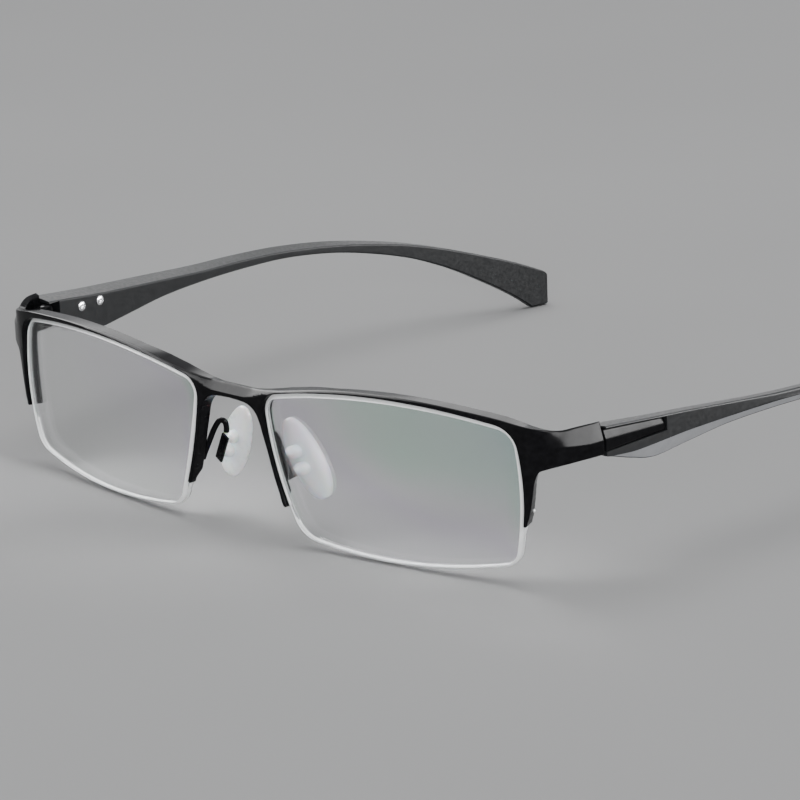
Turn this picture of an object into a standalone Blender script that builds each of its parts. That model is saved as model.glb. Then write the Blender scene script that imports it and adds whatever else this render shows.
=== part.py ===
"""Half rim eyeglasses standing open on their lens edges and temple tips.

The frame is worked out in millimetres with x to the wearer's left, y from the front to the back and z up
from the surface that the glasses stand on, then placed in metres with the origin in the middle of the
footprint. Every sided piece is worked out for the wearer's left, +X, and mirrored for the right.
"""

import math

import bmesh
import bpy
from mathutils import Matrix, Vector

MM = 0.001
SIDES = (("left", 1), ("right", -1))
GAP = 0.3
CENTRE_Y = 73.42
# The lens edges hang this far below the level that heights are given from.
GROUND_Z = -0.35

# Lenses: 55 mm wide, tilted and wrapped, on a sphere.
LENS_X = 36.1
LENS_Z = 15.2
LENS_WRAP = math.radians(8.76)
LENS_TILT = math.radians(3.1)
LENS_SPHERE = 158.8
LENS_THICKNESS = 2.0
LENS_INSET = 1.45
LENS_RINGS = (1.0, 0.86, 0.66, 0.4, 0.16)
# Corners of the lens shape from its centre, nose side top first, with the bulge of the side that follows
# each corner and the length that its rounding takes from the sides.
LENS_CORNERS = (
    ((-27.9, 11.4), 3.15, 3.25),
    ((26.1, 12.7), 1.6, 3.1),
    ((25.5, -12.5), 2.25, 2.5),
    ((-20.7, -14.05), 1.05, 3.05),
)

# Front: a strip bent round a plan line, given by its front face 31 mm above the ground.
PLAN = (
    (0, -2.8), (9, -2.8), (20, -2.5), (30, -1.6), (40, -0.2), (50, 1.8), (58, 3.8), (63, 5.3),
    (66, 6.9), (68.7, 9.05), (70.75, 11.65), (72.15, 14.35), (72.7, 17.2),
)
PLAN_Z = 31.0
TILT_FADES = (66.0, 74.0)
BROW_TOP = ((0, 27.55), (5, 27.6), (10.5, 28.3), (15.5, 29.2), (21, 30.2), (27, 31.0), (34, 31.5), (40, 31.6),
            (46.5, 31.4), (54, 30.8), (60, 30.1), (65, 29.2), (68.5, 28.65), (71.5, 28.35), (74.3, 28.7),
            (77, 28.9), (82, 28.9))
END_BOTTOM = ((82, 23.1), (80, 23.1), (76, 22.9), (72, 22.25), (69.6, 21.72))
BRIDGE_BOTTOM = ((0, 25.2), (3.4, 25.0), (5.2, 24.5), (6.5, 23.4), (7.3, 21.8), (7.9, 19.7), (8.7, 17.0),
                 (9.4, 14.3), (10.1, 11.7), (11.0, 9.0))
# Width of the temple-side rim leg by height, and the heights at which the legs end.
OUTER_LEG = ((20.3, 2.85), (18.6, 2.15), (16.0, 1.65), (13.8, 1.3), (12.0, 1.0))
OUTER_LEG_END = 10.6
INNER_LEG_END = 6.4
LEG_TIP_WIDTH = 0.9
BROW_DEPTH = 3.6
LEG_DEPTH = 2.8
OUTER_LEG_DEPTH = 3.4
END_DEPTH = 2.3
# How far the top slopes down to its rear edge, along the front.
REAR_DROP = ((0, 0.6), (4, 0.6), (7, 0.4), (10, 0.2), (13, 0.0), (18, 0.0), (25, 0.4), (35, 0.35), (46, 0.25),
             (60, 0.25), (66, 0.5), (82, 0.5))
# Room between the metal rim and the lens outline, where the clear liner shows.
RIM_GAP = 0.33

# Cord, liner and nose pads.
CORD_RADIUS = 0.25
LINER_INSET = 0.85
PAD_CENTRE = Vector((9.0, 8.2, 12.95))
PAD_UP = Vector((-0.46, -0.12, 0.88)).normalized()
PAD_FLARE = math.radians(81)
PAD_HALF = (8.1, 3.6, 1.5)
PAD_LUGS = (1.7, -1.7)
LUG_RADIUS = 0.4
PLATE_HALF = (2.95, 0.95, 0.35)
PLATE_OUT = 4.8
# The plate and the lugs stand this way from the pad.
MOUNT_WAY = Vector((-0.19, -1, 0)).normalized()
ARM_RADIUS = 0.55
ARM_ROUTE = ((11.0, 2.05, 10.9), (10.4, 2.05, 12.5), (9.5, 2.05, 14.6), (8.6, 2.1, 16.6), (7.6, 2.15, 18.1),
             (6.8, 2.3, 18.7), (6.25, 2.6, 18.4), (6.2, 2.85, 17.7), (6.4, 3.1, 17.0), (6.55, 3.2, 16.3))

# Hinge.
AXIS_X, AXIS_Y = 68.5, 17.0
BARREL_RADIUS = 1.5
HINGE_BLOCK_BACK = 6.2
BORE_RADIUS = 0.9
LOW_KNUCKLE = (22.65, 23.2)
MID_KNUCKLE = (23.5, 25.2)
TOP_KNUCKLE = (25.5, 26.7)
PIVOT_Z = 23.2
SCREW_RADIUS = 0.6
SCREW_HEAD_RADIUS = 1.15
SCREW_HEAD = 0.4

# Temples: rows of y, outer x, top and bottom.
TEMPLE_FRONT = 17.7
TEMPLE_ROWS = (
    (17.7, 72.7, 28.05, 22.6), (20, 72.7, 27.85, 22.0), (25, 72.8, 27.35, 20.5), (31, 73.0, 26.8, 19.3),
    (39, 73.4, 26.1, 20.0), (50, 74.2, 25.2, 21.1), (62, 75.0, 24.2, 21.4), (74, 75.6, 23.6, 21.2),
    (86, 75.3, 22.9, 20.8), (98, 74.0, 21.6, 19.5), (108, 72.3, 19.9, 17.5), (118, 70.0, 17.7, 14.7),
    (127, 67.2, 15.1, 11.0), (135, 64.4, 12.4, 6.6), (141, 62.4, 10.2, 2.9), (145.5, 61.2, 8.3, GROUND_Z),
    (149.5, 60.3, 6.5, GROUND_Z),
)
TEMPLE_THICKNESS = (4.8, 2.4)
TEMPLE_CHAMFER = 0.35
WINDOW_END = 33.5
WINDOW_FLOOR = 70.6
TONGUE_OUTER = 72.5
TEMPLE_SCREWS = (("front", 26.3), ("rear", 31.4))
TEMPLE_SCREW_Z = 24.8


def mix(a, b, t):
    return a + (b - a) * t


def smooth_step(low, high, value):
    t = min(max((value - low) / (high - low), 0.0), 1.0)
    return t * t * (3 - 2 * t)


def through(points, steps):
    """A smooth curve through the points, as a list with this many steps between each two."""
    points = [Vector(p) for p in points]
    ends = [points[0] * 2 - points[1]] + points + [points[-1] * 2 - points[-2]]
    curve = []
    for a, b, c, d in zip(ends, ends[1:], ends[2:], ends[3:]):
        for step in range(steps):
            t = step / steps
            curve.append((b * 2 + (c - a) * t + (a * 2 - b * 5 + c * 4 - d) * t**2
                          + (b * 3 - a - c * 3 + d) * t**3) / 2)
    return curve + [points[-1]]


def along(points, value):
    """The other coordinates of a curve of points at this value of their first one."""
    for a, b in zip(points, points[1:]):
        if min(a[0], b[0]) <= value <= max(a[0], b[0]):
            return a.lerp(b, (value - a[0]) / (b[0] - a[0]) if a[0] != b[0] else 0)
    return points[0] if abs(value - points[0][0]) < abs(value - points[-1][0]) else points[-1]


def resample(points, spacing):
    """Points at an even spacing along a line of points, both ends kept."""
    lengths = [0.0]
    for a, b in zip(points, points[1:]):
        lengths.append(lengths[-1] + (b - a).length)
    count = max(1, round(lengths[-1] / spacing))
    even = []
    place = 0
    for i in range(count):
        target = lengths[-1] * i / count
        while lengths[place + 1] < target:
            place += 1
        share = (target - lengths[place]) / (lengths[place + 1] - lengths[place])
        even.append(points[place].lerp(points[place + 1], share))
    return even + [points[-1]]


def lens_shape(inset):
    """The lens outline around its centre, clockwise from the top corner by the nose, moved in by inset."""
    sides = []
    for (start, bulge, cut), (end, _, next_cut) in zip(LENS_CORNERS, LENS_CORNERS[1:] + LENS_CORNERS[:1]):
        a, c = Vector(start), Vector(end)
        chord = c - a
        handle = (a + c) / 2 + Vector((-chord.y, chord.x)).normalized() * bulge * 2
        times = [mix(cut / chord.length, 1 - next_cut / chord.length, i / 10) for i in range(11)]
        sides.append([a * (1 - t)**2 + handle * 2 * t * (1 - t) + c * t**2 for t in times])
    outline = []
    for side, after in zip(sides, sides[1:] + sides[:1]):
        outline += side
        p, q = side[-1], after[0]
        d, e = side[-1] - side[-2], after[0] - after[1]
        reach = ((q - p).x * e.y - (q - p).y * e.x) / (d.x * e.y - d.y * e.x)
        corner = p + d * reach
        for i in range(1, 5):
            t = i / 5
            weights = ((1 - t)**2, 1.5 * t * (1 - t), t**2)
            outline.append((p * weights[0] + corner * weights[1] + q * weights[2]) / sum(weights))
    count = len(outline)
    moved = []
    for i in range(count):
        run = outline[(i + 1) % count] - outline[i - 1]
        moved.append(outline[i] + Vector((run.y, -run.x)).normalized() * inset)
    return moved


def lens_point(u, v, back=0.0):
    """A point of the left lens's front face, or this far behind it, from its place around the centre."""
    bow = LENS_SPHERE - math.sqrt(LENS_SPHERE**2 - u * u - v * v) + back
    y = bow * math.cos(LENS_TILT) - v * math.sin(LENS_TILT)
    z = v * math.cos(LENS_TILT) + bow * math.sin(LENS_TILT)
    x = u * math.cos(LENS_WRAP) - y * math.sin(LENS_WRAP)
    return Vector((LENS_X + x, u * math.sin(LENS_WRAP) + y * math.cos(LENS_WRAP), LENS_Z + z))


PLAN_LINE = resample(through(PLAN, 12), 0.5)
PLAN_STEP = sum((b - a).length for a, b in zip(PLAN_LINE, PLAN_LINE[1:])) / (len(PLAN_LINE) - 1)
SEAM = PLAN_STEP * (len(PLAN_LINE) - 1)
TOP_LINE = through(BROW_TOP, 6)
DROP_LINE = [Vector(p) for p in REAR_DROP]


def plan_frame(s):
    """The plan line's point at this length from the middle, and its direction, both for s >= 0."""
    i = min(int(s / PLAN_STEP), len(PLAN_LINE) - 2)
    a, b = PLAN_LINE[i], PLAN_LINE[i + 1]
    return a.lerp(b, s / PLAN_STEP - i), (b - a).normalized()


def plan_length(x):
    """The length along the plan line at which it reaches this x."""
    for i, (a, b) in enumerate(zip(PLAN_LINE, PLAN_LINE[1:])):
        if b.x >= x:
            return (i + (x - a.x) / (b.x - a.x)) * PLAN_STEP
    return SEAM


def front_depth(s, z):
    """How deep the front is behind its front face."""
    leg = mix(LEG_DEPTH, OUTER_LEG_DEPTH, smooth_step(30.0, 50.0, abs(s)))
    bar = mix(leg, BROW_DEPTH, smooth_step(22.0, 27.0, z))
    return mix(bar, END_DEPTH, smooth_step(64.0, 71.0, abs(s)))


def front_point(s, z, share):
    """The front's point at this length and height, on its front face (share 0) to its rear face (1)."""
    point, run = plan_frame(abs(s))
    lean = math.tan(LENS_TILT) * (PLAN_Z - z) * (1 - smooth_step(*TILT_FADES, abs(s)))
    depth = front_depth(s, z) * share
    x = point.x - run.y * depth
    y = point.y + run.x * depth + lean
    top = along(TOP_LINE, abs(s)).y
    drop = along(DROP_LINE, abs(s)).y * share * smooth_step(top - 1.5, top, z)
    return Vector((math.copysign(x, s) if s else 0.0, y, z - drop))


def front_outline():
    """Half of the front's outline as lengths and heights, from the bridge's top to its underside."""
    top = [Vector((SEAM * i / 40, along(TOP_LINE, SEAM * i / 40).y)) for i in range(41)]
    bottom = [p for p in through(END_BOTTOM, 5) if p.x < SEAM]
    lens = [lens_point(p.x, p.y) for p in lens_shape(-RIM_GAP)]
    rim = [Vector((plan_length(p.x), p.z)) for p in lens]
    lowest = min(range(len(rim)), key=lambda i: rim[i].y + (abs(rim[i].x - 36) > 5) * 9)
    rim = rim[lowest:] + rim[:lowest]
    # The outline runs clockwise, so from its bottom it reaches the nose side first.
    split = max(range(len(rim)), key=lambda i: rim[i].y)
    inner = [p for p in rim[:split] if p.x < 30 and p.y > INNER_LEG_END]
    outer = [p for p in rim[split:] if p.x > 40 and p.y > OUTER_LEG_END]
    middle = [p for p in rim[:split] if p.x >= 30 and p.y > 20] + [p for p in rim[split:] if p.x <= 40 and p.y > 20]
    rim_up = list(reversed(inner + middle + outer))
    side = [Vector((p.y, p.x)) for p in outer]
    leg = [Vector((along(side, z).y + width, z)) for z, width in OUTER_LEG]
    leg = through([Vector((68.4, 21.38)), Vector((67.3, 20.98))] + leg, 3)
    foot = rim_up[0]
    leg_foot = [foot + Vector((LEG_TIP_WIDTH, 0.9)), foot + Vector((LEG_TIP_WIDTH * 0.8, 0.1)),
                foot + Vector((LEG_TIP_WIDTH * 0.4, -0.15))]
    toe = rim_up[-1]
    nose_foot = [toe + Vector((-LEG_TIP_WIDTH * 0.5, -0.3)), toe + Vector((-LEG_TIP_WIDTH, -0.1)),
                 toe + Vector((-LEG_TIP_WIDTH - 0.35, 0.7))]
    nose = list(reversed(through([Vector(p) for p in BRIDGE_BOTTOM], 3)))
    return top + [Vector((SEAM, END_BOTTOM[0][1]))] + bottom + leg + leg_foot + rim_up + nose_foot + nose


def place(point, side=1, pivot=Vector((0, 0, 0))):
    """A point in millimetres, mirrored for the right, in metres from the pivot."""
    x, y, z = point
    return Vector((x * side, y - CENTRE_Y, z - GROUND_Z)) * MM - pivot


def pivot_of(side):
    return place((AXIS_X, AXIS_Y, PIVOT_Z), side)


def collection(name, hidden=False):
    group = bpy.data.collections.new(name)
    bpy.context.scene.collection.children.link(group)
    group.hide_render = hidden
    return group


def material(name, colour, roughness, metallic=0.0, alpha=1.0):
    made = bpy.data.materials.get(name)
    if made:
        return made
    made = bpy.data.materials.new(name)
    made.use_nodes = True
    shader = made.node_tree.nodes["Principled BSDF"]
    shader.inputs["Base Color"].default_value = (*colour, 1)
    shader.inputs["Roughness"].default_value = roughness
    shader.inputs["Metallic"].default_value = metallic
    shader.inputs["Alpha"].default_value = alpha
    return made


def finish_mesh(name, bm, look, side=1, pivot=None, group=None):
    """An object from a bmesh in millimetres. A right-hand one is mirrored and turned outside again."""
    pivot = pivot or Vector((0, 0, 0))
    bm = bm.copy()
    bmesh.ops.recalc_face_normals(bm, faces=bm.faces)
    for vertex in bm.verts:
        vertex.co = place(vertex.co, side, pivot)
    if side < 0:
        bmesh.ops.reverse_faces(bm, faces=bm.faces)
    mesh = bpy.data.meshes.new(name)
    bm.to_mesh(mesh)
    bm.free()
    mesh.materials.append(look)
    mesh.shade_smooth()
    mesh.set_sharp_from_angle(angle=math.radians(35))
    made = bpy.data.objects.new(name, mesh)
    made.location = pivot
    (group or PARTS).objects.link(made)
    return made


def loft(bm, rings, closed_ends=True):
    """Skin between rings of points of equal count."""
    loops = [[bm.verts.new(p) for p in ring] for ring in rings]
    for low, high in zip(loops, loops[1:]):
        for i in range(len(low)):
            j = (i + 1) % len(low)
            bm.faces.new((low[i], low[j], high[j], high[i]))
    if closed_ends:
        bm.faces.new(reversed(loops[0]))
        bm.faces.new(loops[-1])
    return loops


def box(low, high):
    bm = bmesh.new()
    bmesh.ops.create_cube(bm, size=1.0)
    low, high = Vector(low), Vector(high)
    for vertex in bm.verts:
        vertex.co = Vector([mix(a, b, c + 0.5) for a, b, c in zip(low, high, vertex.co)])
    return bm


def rod(start, end, radius, segments=20):
    """A cylinder between two points."""
    start, end = Vector(start), Vector(end)
    bm = bmesh.new()
    turn = (end - start).to_track_quat("Z", "Y").to_matrix().to_4x4()
    bmesh.ops.create_cone(bm, cap_ends=True, segments=segments, radius1=radius, radius2=radius,
                          depth=(end - start).length, matrix=Matrix.Translation((start + end) / 2) @ turn)
    return bm


def combine(target, bm, operation, side, pivot):
    """Adds a Boolean of this bmesh to the object."""
    tool = finish_mesh(f"{target.name}_{operation.lower()}_{len(target.modifiers)}", bm,
                       target.data.materials[0], side, pivot, CUTTERS)
    tool.hide_render = True
    tool.display_type = "WIRE"
    modifier = target.modifiers.new(operation.title(), "BOOLEAN")
    modifier.operation = operation
    modifier.object = tool


def tube(name, points, radius, look, side):
    """A round wire through the points."""
    curve = bpy.data.curves.new(name, "CURVE")
    curve.dimensions = "3D"
    curve.bevel_depth = radius * MM
    curve.bevel_resolution = 2
    curve.use_fill_caps = True
    spline = curve.splines.new("POLY")
    spline.points.add(len(points) - 1)
    for slot, point in zip(spline.points, points):
        slot.co = (*place(point, side), 1)
    curve.materials.append(look)
    made = bpy.data.objects.new(name, curve)
    PARTS.objects.link(made)


def build_front():
    """The metal front: one flat outline, cut across at intervals and bent round the plan line."""
    half = front_outline()
    other = [Vector((-p.x, p.y)) for p in reversed(half) if p.x > 1e-4]
    curve = bpy.data.curves.new("front_outline", "CURVE")
    curve.dimensions = "2D"
    curve.fill_mode = "BOTH"
    curve.extrude = 0.5
    spline = curve.splines.new("POLY")
    outline = half + other
    spline.points.add(len(outline) - 1)
    for slot, point in zip(spline.points, outline):
        slot.co = (point.x, point.y, 0, 1)
    spline.use_cyclic_u = True
    flat = bpy.data.objects.new("front_outline", curve)
    CUTTERS.objects.link(flat)
    bpy.context.view_layer.update()
    mesh = bpy.data.meshes.new_from_object(flat.evaluated_get(bpy.context.evaluated_depsgraph_get()))
    bpy.data.objects.remove(flat)
    bm = bmesh.new()
    bm.from_mesh(mesh)
    bmesh.ops.remove_doubles(bm, verts=bm.verts, dist=1e-4)
    cuts = list(range(-64, 65, 8)) + [side * (66 + i * 3) for i in range(5) for side in (1, -1)]
    for s in cuts:
        bmesh.ops.bisect_plane(bm, geom=bm.verts[:] + bm.edges[:] + bm.faces[:], plane_co=(s, 0, 0),
                               plane_no=(1, 0, 0), dist=0.03)
    for vertex in bm.verts:
        s, z, layer = vertex.co
        vertex.co = front_point(s, z, 0.5 - layer)
    finish_mesh("front_frame", bm, BLACK_METAL)


def build_lens(name, side):
    """An open spherical sheet on the lens outline, thickened backwards."""
    outline = lens_shape(LENS_INSET)
    bm = bmesh.new()
    rings = [[lens_point(p.x * scale, p.y * scale) for p in outline] for scale in LENS_RINGS]
    loops = loft(bm, rings, closed_ends=False)
    centre = bm.verts.new(lens_point(0, 0))
    for a, b in zip(loops[-1], loops[-1][1:] + loops[-1][:1]):
        bm.faces.new((a, b, centre))
    made = finish_mesh(name, bm, CLEAR_LENS, side)
    solid = made.modifiers.new("Thickness", "SOLIDIFY")
    solid.thickness = LENS_THICKNESS * MM
    solid.offset = 1 if made.data.polygons[0].normal.y > 0 else -1


def lens_edge(inset, back, keep):
    """The stretch of the lens outline whose points pass this test, in order and unbroken."""
    edge = [lens_point(p.x, p.y, back) for p in lens_shape(inset)]
    kept = [keep(p) for p in edge]
    start = next(i for i in range(len(edge)) if kept[i] and not kept[i - 1])
    turned = edge[start:] + edge[:start]
    return [p for p in turned if keep(p)]


def build_edge_wires(name, side):
    """The liner under the brow and the nylon cord under the lens."""
    def beside_rim(p):
        return p.z > (OUTER_LEG_END if p.x > LENS_X else INNER_LEG_END) + 0.6

    def below_rim(p):
        return p.z < (OUTER_LEG_END if p.x > LENS_X else INNER_LEG_END) - 0.6

    liner = lens_edge(LINER_INSET, LENS_THICKNESS / 2, beside_rim)
    cord = lens_edge(CORD_RADIUS, LENS_THICKNESS / 2, below_rim)
    tube(f"rim_liner_{name}", resample(liner, 1.6), CORD_RADIUS, CLEAR_NYLON, side)
    tube(f"lens_cord_{name}", resample(cord, 1.6), CORD_RADIUS, CLEAR_NYLON, side)


def pad_point(up, across, out):
    """A point of the pad from its centre: up its length, across its width and out from the nose."""
    wide = Vector((math.sin(PAD_FLARE), math.cos(PAD_FLARE), 0))
    wide = (wide - PAD_UP * wide.dot(PAD_UP)).normalized()
    return PAD_CENTRE + PAD_UP * up + wide * across + wide.cross(PAD_UP).normalized() * out


def mount_point(up, across, out):
    """A point of what holds the pad: as on the pad, but out along the way the plate stands from it."""
    return pad_point(up, across, 0) + MOUNT_WAY * out


def build_pad(name, side):
    """A soft oval pad with its two push-in lugs, the plate that holds them and the wire arm."""
    bm = bmesh.new()
    bmesh.ops.create_uvsphere(bm, u_segments=18, v_segments=10, radius=1.0)
    for vertex in bm.verts:
        across, out, up = vertex.co
        vertex.co = pad_point(up * PAD_HALF[0], across * PAD_HALF[1], out * PAD_HALF[2])
    pad = finish_mesh(f"nose_pad_{name}", bm, SILICONE, side)
    tip = PLATE_OUT + PLATE_HALF[2]
    for height in PAD_LUGS:
        lug = rod(mount_point(height, 0, 0.2), mount_point(height, 0, tip), LUG_RADIUS, 12)
        combine(pad, lug, "UNION", side, Vector((0, 0, 0)))
    plate = box((-PLATE_HALF[0], -PLATE_HALF[1], -PLATE_HALF[2]), PLATE_HALF)
    for vertex in plate.verts:
        up, across, out = vertex.co
        vertex.co = mount_point(up, across, out + PLATE_OUT)
    holder = finish_mesh(f"pad_plate_{name}", plate, BLACK_METAL, side)
    for height in PAD_LUGS:
        hole = rod(mount_point(height, 0, 1), mount_point(height, 0, tip + 2), LUG_RADIUS + 0.2, 12)
        combine(holder, hole, "DIFFERENCE", side, Vector((0, 0, 0)))
    tube(f"pad_arm_{name}", resample(through(ARM_ROUTE, 6), 0.8), ARM_RADIUS, BLACK_METAL, side)


def knuckle(span):
    return rod((AXIS_X, AXIS_Y, span[0]), (AXIS_X, AXIS_Y, span[1]), BARREL_RADIUS, 24)


def bore():
    return rod((AXIS_X, AXIS_Y, LOW_KNUCKLE[0] - 1), (AXIS_X, AXIS_Y, TOP_KNUCKLE[1] + 1), BORE_RADIUS, 24)


def build_end_hinge(name, side):
    """The block brazed inside the end piece, with the lower and the upper knuckle."""
    point, run = plan_frame(SEAM - HINGE_BLOCK_BACK)
    block = box((-1.9, 0, LOW_KNUCKLE[0] + 0.35), (1.9, 1.7, TOP_KNUCKLE[1] - 0.6))
    for vertex in block.verts:
        length, depth, z = vertex.co
        depth += END_DEPTH + GAP
        vertex.co = Vector((point.x + run.x * length - run.y * depth, point.y + run.y * length + run.x * depth, z))
    origin = Vector((0, 0, 0))
    made = finish_mesh(f"end_hinge_{name}", block, BLACK_METAL, side)
    for span in (LOW_KNUCKLE, TOP_KNUCKLE):
        web = box((AXIS_X - 1.4, AXIS_Y - 3.0, span[0]), (AXIS_X + 0.6, AXIS_Y, span[1]))
        combine(made, web, "UNION", side, origin)
        combine(made, knuckle(span), "UNION", side, origin)
    combine(made, bore(), "DIFFERENCE", side, origin)


def window_outline(gap):
    """The temple's window as y and z, made smaller by the gap."""
    return [(TEMPLE_FRONT - 1 + (gap > 0), 23.3 + gap), (WINDOW_END - gap, 23.7 + gap),
            (WINDOW_END - gap, 26.1 - gap), (TEMPLE_FRONT - 1 + (gap > 0), 27.5 - gap)]


def build_temple_hinge(name, side):
    """The metal leaf that fills the temple's window, with the middle knuckle."""
    pivot = pivot_of(side)
    bm = bmesh.new()
    outline = window_outline(GAP)
    loft(bm, [[(x, y, z) for y, z in outline] for x in (WINDOW_FLOOR + GAP, TONGUE_OUTER)])
    made = finish_mesh(f"temple_hinge_{name}", bm, BLACK_METAL, side, pivot)
    web = box((AXIS_X, AXIS_Y + 0.8, MID_KNUCKLE[0] + 0.7), (WINDOW_FLOOR + 1, AXIS_Y + 2.8, MID_KNUCKLE[1]))
    combine(made, web, "UNION", side, pivot)
    combine(made, knuckle(MID_KNUCKLE), "UNION", side, pivot)
    combine(made, bore(), "DIFFERENCE", side, pivot)
    for _, y in TEMPLE_SCREWS:
        hole = rod((WINDOW_FLOOR, y, TEMPLE_SCREW_Z), (TONGUE_OUTER - 0.5, y, TEMPLE_SCREW_Z), 0.7, 14)
        combine(made, hole, "DIFFERENCE", side, pivot)


def temple_section(y, outer, top, bottom):
    """One ring of the temple: flat inner face, and an outer face of two facets that meet at a ridge."""
    share = (y - TEMPLE_FRONT) / (TEMPLE_ROWS[-1][0] - TEMPLE_FRONT)
    inner = outer - mix(*TEMPLE_THICKNESS, share)
    cut = TEMPLE_CHAMFER
    return [Vector(p) for p in (
        (inner + cut, y, bottom), (outer - cut - 0.1, y, bottom), (outer - 0.1, y, bottom + cut),
        (outer, y, mix(bottom, top, 0.45)), (outer - 0.2, y, top - cut), (outer - cut - 0.2, y, top),
        (inner + cut, y, top), (inner, y, top - cut), (inner, y, bottom + cut))]


def build_temple(name, side):
    pivot = pivot_of(side)
    rows = []
    for a, b in zip(TEMPLE_ROWS, TEMPLE_ROWS[1:]):
        rows.append(a[0])
        if b[0] - a[0] > 5.5 and b[0] < 145:
            rows.append((a[0] + b[0]) / 2)
    rows.append(TEMPLE_ROWS[-1][0])
    curve = through([Vector(row) for row in TEMPLE_ROWS[:-1]], 6) + [Vector(TEMPLE_ROWS[-1])]
    bm = bmesh.new()
    loft(bm, [temple_section(*along(curve, y)) for y in rows])
    made = finish_mesh(f"temple_{name}", bm, TEMPLE_PLASTIC, side, pivot)
    window = bmesh.new()
    loft(window, [[(x, y, z) for y, z in window_outline(0)] for x in (WINDOW_FLOOR, WINDOW_FLOOR + 5)])
    combine(made, window, "DIFFERENCE", side, pivot)
    recess = box((AXIS_X - 6, AXIS_Y - 6, 15), (WINDOW_FLOOR + 0.15, AXIS_Y + 3.4, 35))
    combine(made, recess, "DIFFERENCE", side, pivot)
    for _, y in TEMPLE_SCREWS:
        hole = rod((AXIS_X - 3, y, TEMPLE_SCREW_Z), (WINDOW_FLOOR + 1, y, TEMPLE_SCREW_Z), 0.7, 14)
        combine(made, hole, "DIFFERENCE", side, pivot)


def turned(name, profile, look, location, axis, parent_pivot=None):
    """A turned piece from a profile of radius and height, top first, about this axis."""
    mesh = bpy.data.meshes.new(name)
    points = [(radius * MM, 0, height * MM) for radius, height in profile]
    mesh.from_pydata(points, [(i, i + 1) for i in range(len(points) - 1)], [])
    mesh.materials.append(look)
    made = bpy.data.objects.new(name, mesh)
    made.rotation_euler = Vector(axis).to_track_quat("Z", "Y").to_euler()
    made.location = location
    spin = made.modifiers.new("Turn", "SCREW")
    spin.steps = 20
    spin.render_steps = 20
    spin.use_merge_vertices = True
    spin.merge_threshold = 1e-5
    PARTS.objects.link(made)


def build_screws(name, side):
    """The hinge's screw from above, and the two from inside that hold the temple on its leaf."""
    top = TOP_KNUCKLE[1] + GAP
    length = top - LOW_KNUCKLE[0]
    hinge = ((0, SCREW_HEAD), (SCREW_HEAD_RADIUS * 0.7, SCREW_HEAD), (SCREW_HEAD_RADIUS, SCREW_HEAD * 0.5),
             (SCREW_HEAD_RADIUS, 0), (SCREW_RADIUS, 0), (SCREW_RADIUS, -length), (0, -length))
    turned(f"hinge_screw_{name}", hinge, BLACK_METAL, place((AXIS_X, AXIS_Y, top), side), (0, 0, 1))
    curve = through([Vector(row) for row in TEMPLE_ROWS], 6)
    for which, y in TEMPLE_SCREWS:
        share = (y - TEMPLE_FRONT) / (TEMPLE_ROWS[-1][0] - TEMPLE_FRONT)
        face = along(curve, y)[1] - mix(*TEMPLE_THICKNESS, share)
        length = TONGUE_OUTER - 0.8 - face
        small = ((0, 0.75), (0.5, 0.68), (0.85, 0.42), (0.95, 0.1), (0.45, 0.1), (0.45, -length), (0, -length))
        turned(f"temple_screw_{which}_{name}", small, STEEL, place((face, y, TEMPLE_SCREW_Z), side), (-side, 0, 0))


def hang_on_pivot(name, side):
    """An empty on the hinge axis that carries the temple and what is screwed to it."""
    pivot = bpy.data.objects.new(f"temple_{name}_pivot", None)
    pivot.location = pivot_of(side)
    pivot.empty_display_size = 0.01
    PARTS.objects.link(pivot)
    bpy.context.view_layer.update()
    carried = [f"temple_{name}", f"temple_hinge_{name}"]
    carried += [f"temple_screw_{which}_{name}" for which, _ in TEMPLE_SCREWS]
    for piece in carried:
        child = bpy.data.objects[piece]
        child.parent = pivot
        child.matrix_parent_inverse = pivot.matrix_world.inverted()


for old in list(bpy.data.objects):
    bpy.data.objects.remove(old)
PARTS = collection("half_rim_eyeglasses")
CUTTERS = collection("cutters", hidden=True)
BLACK_METAL = material("black_metal", (0.012, 0.012, 0.013), 0.28, 0.6)
TEMPLE_PLASTIC = material("temple_plastic", (0.035, 0.037, 0.042), 0.45)
STEEL = material("steel", (0.78, 0.79, 0.8), 0.2, 1.0)
CLEAR_LENS = material("clear_lens", (0.93, 0.96, 0.95), 0.03, 0.0, 0.25)
CLEAR_NYLON = material("clear_nylon", (0.85, 0.87, 0.88), 0.25, 0.0, 0.6)
SILICONE = material("silicone", (0.85, 0.87, 0.87), 0.35, 0.0, 0.8)

build_front()
for side_name, sign in SIDES:
    build_lens(f"lens_{side_name}", sign)
    build_edge_wires(side_name, sign)
    build_pad(side_name, sign)
    build_end_hinge(side_name, sign)
    build_temple_hinge(side_name, sign)
    build_temple(side_name, sign)
    build_screws(side_name, sign)
    hang_on_pivot(side_name, sign)
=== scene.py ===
"""Half rim eyeglasses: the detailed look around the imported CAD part.

Shapes are worked out in millimetres with x to the wearer's left, y from the front to the back and z up, as
the CAD part is, then placed in metres. Every sided piece is made for the wearer's left and mirrored.
"""

import math

import bmesh
import bpy
from mathutils import Matrix, Vector


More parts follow.
